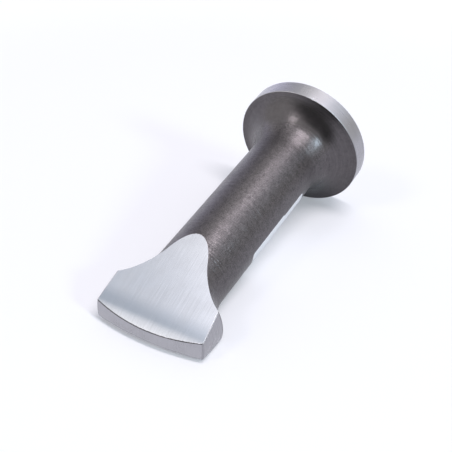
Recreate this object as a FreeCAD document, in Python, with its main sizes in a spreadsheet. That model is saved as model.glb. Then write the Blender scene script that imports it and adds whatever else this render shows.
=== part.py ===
import FreeCAD, Part
import math
import os

import Sketcher
from FreeCAD import Placement, Rotation, Vector

# Toe dolly: a one-piece hand dolly for beating sheet metal, with a blank paper label.
#
# Tool axes: X runs along the shaft from the anvil head towards the toe, with zero at
# the shoulder of the head. Z is up, and Y is across the toe. Each piece is drawn in
# these axes and then laid down as the tool lies on a bench, on the rim of its head and
# on the ground flat under its toe.

doc = FreeCAD.newDocument("toe_dolly")

# Driving dimensions, in millimetres and degrees
DIMENSIONS = {
    # anvil head
    "head_diameter": 56.0,
    "head_rim_width": 7.7,
    "head_crown_radius": 260.0,
    "head_edge_radius": 0.3,
    "head_flare_radius": 16.0,
    # shaft
    "shaft_diameter": 29.7,
    # toe, turned round before its flats are ground
    "toe_diameter": 46.4,
    "toe_flare_radius": 17.5,
    "toe_reach": 119.9,
    "toe_rim_length": 16.3,
    "toe_crown_radius": 89.5,
    "toe_crown_sweep": 60.0,
    # ground flats of the toe
    "top_flat_angle": 17.33,
    "top_flat_height": 7.36,
    "lip_setback": 6.7,
    "lip_radius": 60.0,
    "underside_angle": 10.8,
    "underside_roll_setback": 17.4,
    "underside_roll_radius": 82.0,
    "toe_upper_edge_radius": 0.5,
    "toe_lower_edge_radius": 0.8,
    # paper label on the shaft
    "label_start": 24.6,
    "label_length": 42.0,
    "label_width": 25.0,
    "label_edge_angle": -3.0,
    "label_corner_radius": 1.5,
    "paper_thickness": 0.12,
    "glue_thickness": 0.03,
    # how far a cut runs past the metal that it takes away
    "cut_overrun": 2.0,
}

sheet = doc.addObject("Spreadsheet::Sheet", "dims")
for row, (alias, value) in enumerate(DIMENSIONS.items(), start=1):
    sheet.set(f"A{row}", alias)
    sheet.set(f"B{row}", str(value))
    sheet.setAlias(f"B{row}", alias)
doc.recompute()

# Expressions that several features share
HEAD_RADIUS = "(dims.head_diameter / 2)"
SHAFT_RADIUS = "(dims.shaft_diameter / 2)"
TOE_RADIUS = "(dims.toe_diameter / 2)"
TOP_TAN = "tan(dims.top_flat_angle * 1 deg)"
UNDER_TAN = "tan(dims.underside_angle * 1 deg)"
UNDER_SIN = "sin(dims.underside_angle * 1 deg)"
UNDER_COS = "cos(dims.underside_angle * 1 deg)"

# Where cuts end: past the leaning end of the toe, above the round toe, and below the shaft
CUT_END = f"(dims.toe_reach + {TOE_RADIUS} * {UNDER_TAN} + dims.cut_overrun)"
CEILING = f"({TOE_RADIUS} + dims.cut_overrun)"
SHAFT_CLEAR = f"({SHAFT_RADIUS} + dims.cut_overrun)"

# Where the centres of the turned arcs and the back of the toe's rim lie along the shaft
HEAD_CROWN_X = f"(sqrt(dims.head_crown_radius ^ 2 - {HEAD_RADIUS} ^ 2) - dims.head_rim_width)"
HEAD_RISE = f"({HEAD_RADIUS} - {SHAFT_RADIUS})"
HEAD_FLARE_X = f"sqrt(dims.head_flare_radius ^ 2 - (dims.head_flare_radius - {HEAD_RISE}) ^ 2)"
TOE_RIM_START = "(dims.toe_reach - dims.toe_rim_length)"

# The shoulder edge of the head is rounded between its rim and its flare
SHOULDER_X = (
    f"({HEAD_FLARE_X} - sqrt((dims.head_flare_radius + dims.head_edge_radius) ^ 2"
    f" - ({HEAD_RISE} - dims.head_edge_radius - dims.head_flare_radius) ^ 2))"
)

# The bench line touches the shoulder edge from below and is also the plane of the
# toe's underside. This is its height where it crosses the zero of the tool axes.
BENCH_HEIGHT = (
    f"(dims.head_edge_radius - {HEAD_RADIUS} - {SHOULDER_X} * {UNDER_TAN}"
    f" - dims.head_edge_radius / {UNDER_COS})"
)

# Where the flat of the underside ends and rolls up, and the centre of that roll
ROLL_START = "(dims.toe_reach - dims.underside_roll_setback)"
ROLL_HEIGHT = f"({BENCH_HEIGHT} + {ROLL_START} * {UNDER_TAN})"
ROLL_X = f"({ROLL_START} - dims.underside_roll_radius * {UNDER_SIN})"
ROLL_Z = f"({ROLL_HEIGHT} + dims.underside_roll_radius * {UNDER_COS})"

# Heights above the shaft's axis where the top flat, the underside and the middle of the
# striking face reach the end of the toe
TIP_HEIGHT = f"(dims.top_flat_height - dims.toe_rim_length * {TOP_TAN})"
FOOT_HEIGHT = (
    f"({ROLL_Z} - sqrt(dims.underside_roll_radius ^ 2 - (dims.toe_reach - {ROLL_X}) ^ 2))"
)
FACE_HEIGHT = f"(({TIP_HEIGHT} + {FOOT_HEIGHT}) / 2)"


def evaluate(expression):
    """Return an expression's value as a plain number."""
    value = sheet.evalExpression(expression)
    return float(getattr(value, "Value", value))


def attach(sketch, body, role):
    """Lay a sketch on the plane of its body's own origin that has this role."""
    plane = next(item for item in body.Origin.OriginFeatures if item.Role == role)
    sketch.AttachmentSupport = [(plane, "")]
    sketch.MapMode = "FlatFace"


def bind(sketch, constraint, name, expression):
    """Add a dimension to a sketch, name it and tie it to the sheet."""
    index = sketch.addConstraint(constraint)
    sketch.renameConstraint(index, name)
    sketch.setExpression(f"Constraints.{name}", expression)


def place_across(sketch, piece, end, name, expression):
    """Fix a point's distance to the right of the sketch's origin."""
    distance = Sketcher.Constraint("DistanceX", -1, 1, piece, end, evaluate(expression))
    bind(sketch, distance, f"{name}_across", expression)


def place_up(sketch, piece, end, name, expression):
    """Fix a point's distance above the sketch's origin."""
    distance = Sketcher.Constraint("DistanceY", -1, 1, piece, end, evaluate(expression))
    bind(sketch, distance, f"{name}_up", expression)


def join_in_ring(sketch, pieces, smooth=()):
    """Join the end of each piece of an outline to the start of the next.

    A piece is its geometry number with the numbers of its start and end points,
    because an arc that turns clockwise along the outline starts at its second point.
    The joints behind the pieces named in smooth run on tangent, the others may kink.
    """
    for piece, following in zip(pieces, pieces[1:] + pieces[:1]):
        kind = "Tangent" if piece[0] in smooth else "Coincident"
        sketch.addConstraint(
            Sketcher.Constraint(kind, piece[0], piece[2], following[0], following[1])
        )


def hold_straight(sketch, kind, pieces):
    """Keep lines of a sketch horizontal or vertical."""
    for piece in pieces:
        sketch.addConstraint(Sketcher.Constraint(kind, piece))


def arc_through(centre, radius, start, end):
    """Return the arc of a circle that turns anticlockwise between two points."""
    circle = Part.Circle(Vector(*centre, 0), Vector(0, 0, 1), radius)
    first = math.atan2(start[1] - centre[1], start[0] - centre[0])
    last = math.atan2(end[1] - centre[1], end[0] - centre[0])
    return Part.ArcOfCircle(circle, first, last if last > first else last + 2 * math.pi)


def line(start, end):
    """Return a straight piece of an outline."""
    return Part.LineSegment(Vector(*start, 0), Vector(*end, 0))


def towards(start, target, distance):
    """Return the point at a distance from one point on the way to another."""
    share = distance / math.hypot(target[0] - start[0], target[1] - start[1])
    return (start[0] + (target[0] - start[0]) * share, start[1] + (target[1] - start[1]) * share)


head_radius = evaluate(HEAD_RADIUS)
shaft_radius = evaluate(SHAFT_RADIUS)
toe_radius = evaluate(TOE_RADIUS)
cut_end = evaluate(CUT_END)
ceiling = evaluate(CEILING)
shaft_clear = evaluate(SHAFT_CLEAR)

forging = doc.addObject("PartDesign::Body", "dolly_forging")
forging.Label = "dolly_forging"

# The turned blank: crowned head, flare, shaft, flare and round toe in one profile

head_crown = evaluate("dims.head_crown_radius")
head_edge = evaluate("dims.head_edge_radius")
head_flare = evaluate("dims.head_flare_radius")
toe_flare = evaluate("dims.toe_flare_radius")
toe_rim_start = evaluate(TOE_RIM_START)

head_crown_centre = (evaluate(HEAD_CROWN_X), 0)
edge_height = head_radius - head_edge
head_edge_centre = (
    head_crown_centre[0] - math.sqrt((head_crown - head_edge) ** 2 - edge_height**2),
    edge_height,
)
shoulder_centre = (evaluate(SHOULDER_X), edge_height)
head_flare_centre = (evaluate(HEAD_FLARE_X), shaft_radius + head_flare)
toe_flare_rise = toe_radius - shaft_radius
toe_flare_centre = (
    toe_rim_start - math.sqrt(toe_flare**2 - (toe_flare - toe_flare_rise) ** 2),
    shaft_radius + toe_flare,
)

face_centre = (head_crown_centre[0] - head_crown, 0)
face_edge = towards(head_crown_centre, head_edge_centre, head_crown)
rim_back = (head_edge_centre[0], head_radius)
rim_front = (shoulder_centre[0], head_radius)
flare_top = towards(head_flare_centre, shoulder_centre, head_flare)
shaft_back = (head_flare_centre[0], shaft_radius)
shaft_front = (toe_flare_centre[0], shaft_radius)
toe_back = (toe_rim_start, toe_radius)
toe_front = (cut_end, toe_radius)
toe_end = (cut_end, 0)

profile = forging.newObject("Sketcher::SketchObject", "turned_profile")
attach(profile, forging, "XZ_Plane")
profile.addGeometry(
    [
        arc_through(head_crown_centre, head_crown, face_edge, face_centre),
        arc_through(head_edge_centre, head_edge, rim_back, face_edge),
        line(rim_back, rim_front),
        arc_through(shoulder_centre, head_edge, flare_top, rim_front),
        arc_through(head_flare_centre, head_flare, flare_top, shaft_back),
        line(shaft_back, shaft_front),
        arc_through(toe_flare_centre, toe_flare, shaft_front, toe_back),
        line(toe_back, toe_front),
        line(toe_front, toe_end),
        line(toe_end, face_centre),
    ],
    False,
)
HEAD_FACE, HEAD_EDGE, HEAD_RIM, SHOULDER, HEAD_FLARE = range(5)
SHAFT, TOE_FLARE, TOE_RIM, TOE_END, AXIS = range(5, 10)
join_in_ring(
    profile,
    [
        (HEAD_FACE, 2, 1),
        (HEAD_EDGE, 2, 1),
        (HEAD_RIM, 1, 2),
        (SHOULDER, 2, 1),
        (HEAD_FLARE, 1, 2),
        (SHAFT, 1, 2),
        (TOE_FLARE, 1, 2),
        (TOE_RIM, 1, 2),
        (TOE_END, 1, 2),
        (AXIS, 1, 2),
    ],
    smooth=(HEAD_FACE, HEAD_EDGE, HEAD_RIM, SHOULDER, HEAD_FLARE, SHAFT),
)
hold_straight(profile, "Horizontal", (HEAD_RIM, SHAFT, TOE_RIM))
hold_straight(profile, "Vertical", (TOE_END,))
for piece, end in ((AXIS, 1), (AXIS, 2), (HEAD_FACE, 3)):
    profile.addConstraint(Sketcher.Constraint("PointOnObject", piece, end, -1))
place_up(profile, HEAD_RIM, 1, "head_rim", HEAD_RADIUS)
place_up(profile, SHAFT, 1, "shaft", SHAFT_RADIUS)
place_up(profile, TOE_RIM, 1, "toe_rim", TOE_RADIUS)
place_across(profile, HEAD_FACE, 3, "head_crown", HEAD_CROWN_X)
place_across(profile, HEAD_FLARE, 3, "head_flare", HEAD_FLARE_X)
place_across(profile, TOE_RIM, 1, "toe_rim", TOE_RIM_START)
place_across(profile, AXIS, 1, "toe_end", CUT_END)
for piece, name, size in (
    (HEAD_FACE, "head_crown", "dims.head_crown_radius"),
    (HEAD_EDGE, "head_edge", "dims.head_edge_radius"),
    (SHOULDER, "shoulder", "dims.head_edge_radius"),
    (HEAD_FLARE, "head_flare", "dims.head_flare_radius"),
    (TOE_FLARE, "toe_flare", "dims.toe_flare_radius"),
):
    bind(profile, Sketcher.Constraint("Radius", piece, evaluate(size)), name, size)

blank = forging.newObject("PartDesign::Revolution", "turned_blank")
blank.Profile = profile
blank.ReferenceAxis = (profile, ["H_Axis"])
blank.Angle = 360
doc.recompute()


def take_away(kind, name, outline):
    """Cut an outline from the forging with a new feature of this kind."""
    before = forging.Shape.Volume
    cut = forging.newObject(kind, name)
    cut.Profile = outline
    if kind == "PartDesign::Groove":
        cut.ReferenceAxis = (outline, ["V_Axis"])
        cut.setExpression("Angle", "dims.toe_crown_sweep * 1 deg")
        cut.Midplane = True
    else:
        cut.SideType = "Symmetric"
        cut.Type = "ThroughAll"
    doc.recompute()
    if not forging.Shape.Volume < before:
        raise RuntimeError(f"{name} takes nothing away")
    return cut


# The striking face of the toe is crowned both ways, as part of a large sphere, and stands
# square to the flat underneath. What lies outside is swept away about the line through its
# centre that is upright on the bench, as far out as another toe's width.

CROWN_X = f"(dims.toe_reach - dims.toe_crown_radius * {UNDER_COS})"
CROWN_HEIGHT = f"({FACE_HEIGHT} - dims.toe_crown_radius * {UNDER_SIN})"
CROWN_EDGE = f"sqrt(dims.toe_crown_radius ^ 2 - {CEILING} ^ 2)"
CROWN_CLEAR = "(dims.toe_crown_radius + dims.toe_diameter)"
crown_edge = evaluate(CROWN_EDGE)
crown_clear = evaluate(CROWN_CLEAR)

face_outline = forging.newObject("Sketcher::SketchObject", "striking_face_outline")
attach(face_outline, forging, "XZ_Plane")
face_outline.AttachmentOffset = Placement(Vector(0, 0, 0), Rotation(Vector(0, 0, 1), 1))
face_outline.setExpression(".AttachmentOffset.Rotation.Angle", "dims.underside_angle * 1 deg")
face_outline.setExpression(".AttachmentOffset.Base.x", CROWN_X)
face_outline.setExpression(".AttachmentOffset.Base.y", CROWN_HEIGHT)
face_outline.addGeometry(
    [
        arc_through((0, 0), evaluate("dims.toe_crown_radius"), (crown_edge, -ceiling),
                    (crown_edge, ceiling)),
        line((crown_edge, ceiling), (crown_clear, ceiling)),
        line((crown_clear, ceiling), (crown_clear, -ceiling)),
        line((crown_clear, -ceiling), (crown_edge, -ceiling)),
    ],
    False,
)
CROWN, CROWN_TOP, CROWN_FRONT, CROWN_FOOT = range(4)
join_in_ring(face_outline, [(piece, 1, 2) for piece in range(4)])
hold_straight(face_outline, "Horizontal", (CROWN_TOP, CROWN_FOOT))
hold_straight(face_outline, "Vertical", (CROWN_FRONT,))
face_outline.addConstraint(Sketcher.Constraint("Coincident", CROWN, 3, -1, 1))
place_up(face_outline, CROWN, 1, "crown_foot", f"-{CEILING}")
place_up(face_outline, CROWN, 2, "crown_top", CEILING)
place_across(face_outline, CROWN_FRONT, 1, "crown_front", CROWN_CLEAR)
crown_radius = Sketcher.Constraint("Radius", CROWN, evaluate("dims.toe_crown_radius"))
bind(face_outline, crown_radius, "crown", "dims.toe_crown_radius")
doc.recompute()
take_away("PartDesign::Groove", "striking_face", face_outline)

# The top flat: a wedge of the round toe ground away, with a lip that rolls off towards
# the striking edge. The cut leaves a tongue-shaped facet that runs out on the shaft.

LIP_START = "(dims.toe_reach - dims.lip_setback)"
LIP_HEIGHT = (
    f"(dims.top_flat_height - (dims.toe_rim_length - dims.lip_setback) * {TOP_TAN})"
)
TOP_START = f"({TOE_RIM_START} - ({SHAFT_CLEAR} - dims.top_flat_height) / {TOP_TAN})"

top_angle = math.radians(evaluate("dims.top_flat_angle"))
lip_radius = evaluate("dims.lip_radius")
lip_start = (evaluate(LIP_START), evaluate(LIP_HEIGHT))
lip_centre = (
    lip_start[0] - lip_radius * math.sin(top_angle),
    lip_start[1] - lip_radius * math.cos(top_angle),
)
lip_end = (cut_end, lip_centre[1] + math.sqrt(lip_radius**2 - (cut_end - lip_centre[0]) ** 2))
top_start = (evaluate(TOP_START), shaft_clear)

top_outline = forging.newObject("Sketcher::SketchObject", "top_flat_outline")
attach(top_outline, forging, "XZ_Plane")
top_outline.addGeometry(
    [
        line(top_start, lip_start),
        arc_through(lip_centre, lip_radius, lip_end, lip_start),
        line(lip_end, (cut_end, ceiling)),
        line((cut_end, ceiling), (top_start[0], ceiling)),
        line((top_start[0], ceiling), top_start),
    ],
    False,
)
FLAT, LIP, TOP_FRONT, TOP_CEILING, TOP_BACK = range(5)
join_in_ring(
    top_outline,
    [(FLAT, 1, 2), (LIP, 2, 1), (TOP_FRONT, 1, 2), (TOP_CEILING, 1, 2), (TOP_BACK, 1, 2)],
    smooth=(FLAT,),
)
hold_straight(top_outline, "Vertical", (TOP_FRONT, TOP_BACK))
hold_straight(top_outline, "Horizontal", (TOP_CEILING,))
place_across(top_outline, FLAT, 1, "top_start", TOP_START)
place_up(top_outline, FLAT, 1, "top_start", SHAFT_CLEAR)
place_across(top_outline, FLAT, 2, "lip_start", LIP_START)
place_up(top_outline, FLAT, 2, "lip_start", LIP_HEIGHT)
place_across(top_outline, TOP_CEILING, 1, "top_front", CUT_END)
place_up(top_outline, TOP_CEILING, 1, "top_ceiling", CEILING)
bind(top_outline, Sketcher.Constraint("Radius", LIP, lip_radius), "lip", "dims.lip_radius")
doc.recompute()
take_away("PartDesign::Pocket", "top_flat", top_outline)

# The underside: the lower flat of the toe, ground in the plane that also touches the
# rim of the head, so that the tool lies steady on a bench. Ahead of the toe's flare it
# rolls up towards the striking edge.

UNDER_START = f"((-{SHAFT_CLEAR} - {BENCH_HEIGHT}) / {UNDER_TAN})"
roll_radius = evaluate("dims.underside_roll_radius")
roll_centre = (evaluate(ROLL_X), evaluate(ROLL_Z))
roll_start = (evaluate(ROLL_START), evaluate(ROLL_HEIGHT))
under_start = (evaluate(UNDER_START), -shaft_clear)
under_end = (
    cut_end,
    roll_centre[1] - math.sqrt(roll_radius**2 - (cut_end - roll_centre[0]) ** 2),
)

under_outline = forging.newObject("Sketcher::SketchObject", "underside_outline")
attach(under_outline, forging, "XZ_Plane")
under_outline.addGeometry(
    [
        line(under_start, (under_start[0], -ceiling)),
        line((under_start[0], -ceiling), (cut_end, -ceiling)),
        line((cut_end, -ceiling), under_end),
        arc_through(roll_centre, roll_radius, roll_start, under_end),
        line(roll_start, under_start),
    ],
    False,
)
UNDER_BACK, UNDER_FLOOR, UNDER_FRONT, UNDER_ROLL, UNDER_FLAT = range(5)
join_in_ring(
    under_outline,
    [
        (UNDER_BACK, 1, 2),
        (UNDER_FLOOR, 1, 2),
        (UNDER_FRONT, 1, 2),
        (UNDER_ROLL, 2, 1),
        (UNDER_FLAT, 1, 2),
    ],
    smooth=(UNDER_ROLL,),
)
hold_straight(under_outline, "Vertical", (UNDER_BACK, UNDER_FRONT))
hold_straight(under_outline, "Horizontal", (UNDER_FLOOR,))
place_across(under_outline, UNDER_BACK, 1, "under_start", UNDER_START)
place_up(under_outline, UNDER_BACK, 1, "under_start", f"-{SHAFT_CLEAR}")
place_up(under_outline, UNDER_BACK, 2, "under_floor", f"-{CEILING}")
place_across(under_outline, UNDER_FLAT, 1, "roll_start", ROLL_START)
place_up(under_outline, UNDER_FLAT, 1, "roll_start", ROLL_HEIGHT)
place_across(under_outline, UNDER_FRONT, 1, "under_front", CUT_END)
roll_size = Sketcher.Constraint("Radius", UNDER_ROLL, roll_radius)
bind(under_outline, roll_size, "roll", "dims.underside_roll_radius")
doc.recompute()
take_away("PartDesign::Pocket", "underside", under_outline)

# The edges of the toe are broken, those of its top flat with a small radius, and its
# two corners and those underneath with a larger one


def is_turned(face):
    """Tell whether a face is a cylinder about the shaft's axis."""
    surface = face.Surface
    return surface.TypeId == "Part::GeomCylinder" and abs(surface.Axis.x) > abs(surface.Axis.y)


def is_toe_rim(face):
    """Tell whether a face is a side of the toe's round rim."""
    return is_turned(face) and face.CenterOfMass.x > toe_rim_start


def is_striking_face(face):
    """Tell whether a face is the crowned end of the toe."""
    return face.Surface.TypeId == "Part::GeomSphere" and face.CenterOfMass.x > toe_rim_start


def is_ground(face):
    """Tell whether a face is a ground flat, or the part of one that rolls off."""
    kind = face.Surface.TypeId
    return kind == "Part::GeomPlane" or (kind == "Part::GeomCylinder" and not is_turned(face))


def is_top(face):
    """Tell whether a face is the top flat or its lip."""
    return is_ground(face) and face.CenterOfMass.z > 0


def is_underside(face):
    """Tell whether a face is the flat under the toe or its roll."""
    return is_ground(face) and face.CenterOfMass.z < 0


def is_beyond_rim(face):
    """Tell whether a face lies ahead of the toe's flare and isn't a ground flat."""
    return face.CenterOfMass.x > toe_rim_start and not is_ground(face)


def round_edges(name, size, tests):
    """Round the edges of the forging whose two faces pass one of these pairs of tests."""
    base = forging.Tip
    edges = []
    for number, edge in enumerate(base.Shape.Edges, start=1):
        sides = base.Shape.ancestorsOfType(edge, Part.Face)
        if len(sides) == 2 and any(
            (first(sides[0]) and second(sides[1])) or (first(sides[1]) and second(sides[0]))
            for first, second in tests
        ):
            edges.append(f"Edge{number}")
    rounding = forging.newObject("PartDesign::Fillet", name)
    rounding.Base = (base, edges)
    rounding.setExpression("Radius", size)
    doc.recompute()


LOWER_RADIUS = "dims.toe_lower_edge_radius"
round_edges("corner_edges", LOWER_RADIUS, [(is_toe_rim, is_striking_face)])
round_edges("underside_edges", LOWER_RADIUS, [(is_underside, is_beyond_rim)])
round_edges("top_edges", "dims.toe_upper_edge_radius", [(is_top, is_beyond_rim)])

# The label: a blank strip of paper bent round the shaft, clear of both flares

LABEL_INNER = f"({SHAFT_RADIUS} + dims.glue_thickness)"
LABEL_OUTER = f"({LABEL_INNER} + dims.paper_thickness)"
LABEL_TOP_ANGLE = "(dims.label_edge_angle * 1 deg)"
LABEL_FOOT_ANGLE = f"({LABEL_TOP_ANGLE} - dims.label_width / {LABEL_OUTER} * 1 rad)"

label = doc.addObject("PartDesign::Body", "shaft_label")
label.Label = "shaft_label"
inner_radius = evaluate(LABEL_INNER)
outer_radius = evaluate(LABEL_OUTER)
top_edge_angle = math.radians(evaluate("dims.label_edge_angle"))
foot_edge_angle = top_edge_angle - evaluate("dims.label_width") / outer_radius


def around(radius, angle):
    """Return the point of a circle about the shaft at an angle from the sketch's right."""
    return (radius * math.cos(angle), radius * math.sin(angle))


strip = label.newObject("Sketcher::SketchObject", "label_section")
attach(strip, label, "YZ_Plane")
strip.setExpression(".AttachmentOffset.Base.z", "dims.label_start")
strip.addGeometry(
    [
        arc_through((0, 0), inner_radius, around(inner_radius, foot_edge_angle),
                    around(inner_radius, top_edge_angle)),
        line(around(inner_radius, top_edge_angle), around(outer_radius, top_edge_angle)),
        arc_through((0, 0), outer_radius, around(outer_radius, foot_edge_angle),
                    around(outer_radius, top_edge_angle)),
        line(around(inner_radius, foot_edge_angle), around(outer_radius, foot_edge_angle)),
    ],
    False,
)
GLUED_SIDE, TOP_EDGE, PAPER_SIDE, FOOT_EDGE = range(4)
join_in_ring(
    strip, [(GLUED_SIDE, 1, 2), (TOP_EDGE, 1, 2), (PAPER_SIDE, 2, 1), (FOOT_EDGE, 2, 1)]
)
for piece, name, size in ((GLUED_SIDE, "glued", LABEL_INNER), (PAPER_SIDE, "paper", LABEL_OUTER)):
    strip.addConstraint(Sketcher.Constraint("Coincident", piece, 3, -1, 1))
    bind(strip, Sketcher.Constraint("Radius", piece, evaluate(size)), name, size)
for piece, name, start, angle in (
    (TOP_EDGE, "top_edge", top_edge_angle, LABEL_TOP_ANGLE),
    (FOOT_EDGE, "foot_edge", foot_edge_angle, LABEL_FOOT_ANGLE),
):
    strip.addConstraint(Sketcher.Constraint("PointOnObject", -1, 1, piece))
    bind(strip, Sketcher.Constraint("Angle", piece, start), name, angle)

sticker = label.newObject("PartDesign::Pad", "sticker")
sticker.Profile = strip
sticker.setExpression("Length", "dims.label_length")
doc.recompute()

corners = []
for number, edge in enumerate(sticker.Shape.Edges, start=1):
    if math.isclose(edge.Length, outer_radius - inner_radius, rel_tol=0.01):
        corners.append(f"Edge{number}")
rounded = label.newObject("PartDesign::Fillet", "rounded_corners")
rounded.Base = (sticker, corners)
rounded.setExpression("Radius", "dims.label_corner_radius")
doc.recompute()

# Both pieces are laid down together. The bench line becomes level at height zero, and
# the origin lies on the bench under the middle of the tool's length: the head reaches
# furthest back at the rounded edge of its face, and the toe furthest forward at the
# middle of its striking face.

HEAD_BACK = (
    f"(({HEAD_CROWN_X} - sqrt((dims.head_crown_radius - dims.head_edge_radius) ^ 2"
    f" - ({HEAD_RADIUS} - dims.head_edge_radius) ^ 2)) * {UNDER_COS}"
    f" - ({HEAD_RADIUS} - dims.head_edge_radius) * {UNDER_SIN} - dims.head_edge_radius)"
)
TOE_FRONT = f"(dims.toe_reach * {UNDER_COS} + {FACE_HEIGHT} * {UNDER_SIN})"

for body in (forging, label):
    body.Placement = Placement(Vector(0, 0, 0), Rotation(Vector(0, 1, 0), 1))
    body.setExpression(".Placement.Rotation.Angle", "dims.underside_angle * 1 deg")
    body.setExpression(".Placement.Base.x", f"-({HEAD_BACK} + {TOE_FRONT}) / 2")
    body.setExpression(".Placement.Base.z", f"-{BENCH_HEIGHT} * {UNDER_COS}")
doc.recompute()

for item in doc.Objects:
    if "Invalid" in item.State or "Error" in item.State:
        raise RuntimeError(f"{item.Label} failed: {item.State}")
for body in (forging, label):
    if body.Shape.isNull() or not body.Shape.isValid() or len(body.Shape.Solids) != 1:
        raise RuntimeError(f"{body.Label} isn't one sound solid")

os.makedirs("parts", exist_ok=True)
for body in (forging, label):
    body.Shape.exportStep(f"parts/{body.Label}.step")
    box = body.Shape.BoundBox
    print(
        f"{body.Label}: volume {body.Shape.Volume:.1f}, faces {len(body.Shape.Faces)},"
        f" x {box.XMin:.3f} to {box.XMax:.3f}, y {box.YMin:.3f} to {box.YMax:.3f},"
        f" z {box.ZMin:.3f} to {box.ZMax:.3f}"
    )
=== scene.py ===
"""Looks of the toe dolly: its steel, its dark coat and its blank paper label, in a plain studio."""

import logging
import math
from dataclasses import dataclass
from enum import Enum

import bpy
from mathutils import Matrix, Vector


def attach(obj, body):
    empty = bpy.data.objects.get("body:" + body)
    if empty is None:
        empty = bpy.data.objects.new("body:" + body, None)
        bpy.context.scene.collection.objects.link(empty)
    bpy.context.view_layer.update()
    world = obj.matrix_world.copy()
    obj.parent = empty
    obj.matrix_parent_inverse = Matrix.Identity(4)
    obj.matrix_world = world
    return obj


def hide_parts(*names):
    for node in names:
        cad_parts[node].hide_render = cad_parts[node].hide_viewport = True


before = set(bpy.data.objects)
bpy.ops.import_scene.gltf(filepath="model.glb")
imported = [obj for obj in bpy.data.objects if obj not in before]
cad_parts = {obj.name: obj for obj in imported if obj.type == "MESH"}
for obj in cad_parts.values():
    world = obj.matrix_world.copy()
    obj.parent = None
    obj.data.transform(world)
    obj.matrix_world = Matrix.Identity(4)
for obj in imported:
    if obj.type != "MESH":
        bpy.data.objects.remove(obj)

Triple = tuple[float, float, float]
Ramp = tuple[float, float]
Socket = bpy.types.NodeSocket

FLOAT = "NodeSocketFloat"
VECTOR = "NodeSocketVector"
WHITE = (1.0, 1.0, 1.0, 1.0)
MILLIMETRE = 0.001
STEEL_NODE = "dolly_forging"
LABEL_NODE = "shaft_label"

log = logging.getLogger("toe_dolly")


class Lay(Enum):
    """Which way the marks of a tool run over the steel."""

    AROUND = "around"
    LENGTHWISE = "lengthwise"
    UPRIGHT = "upright"


class Mixed(Enum):
    """What a Mix node mixes: its kind, and where its two inputs and its result stand."""

    NUMBERS = ("FLOAT", 2, 3, 0)
    COLOURS = ("RGBA", 6, 7, 2)


def as_colour(value: Triple) -> tuple[float, float, float, float]:
    """Returns a colour with full opacity."""
    return (*value, 1.0)


def way_to(azimuth: float, elevation: float) -> Vector:
    """Finds the way from the tool to a part of the studio.

    Args:
        azimuth: degrees round from +X towards +Y.
        elevation: degrees up from the floor.

    Returns:
        The direction.
    """
    turn, rise = math.radians(azimuth), math.radians(elevation)
    flat = math.cos(rise)
    return Vector((math.cos(turn) * flat, math.sin(turn) * flat, math.sin(rise)))


def show(name: str, data: bpy.types.ID) -> bpy.types.Object:
    """Puts a mesh, a lamp or a camera into the scene.

    Args:
        name: the object's name.
        data: what it shows.

    Returns:
        The object.
    """
    thing = bpy.data.objects.new(name, data)
    bpy.context.scene.collection.objects.link(thing)
    return thing


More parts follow.
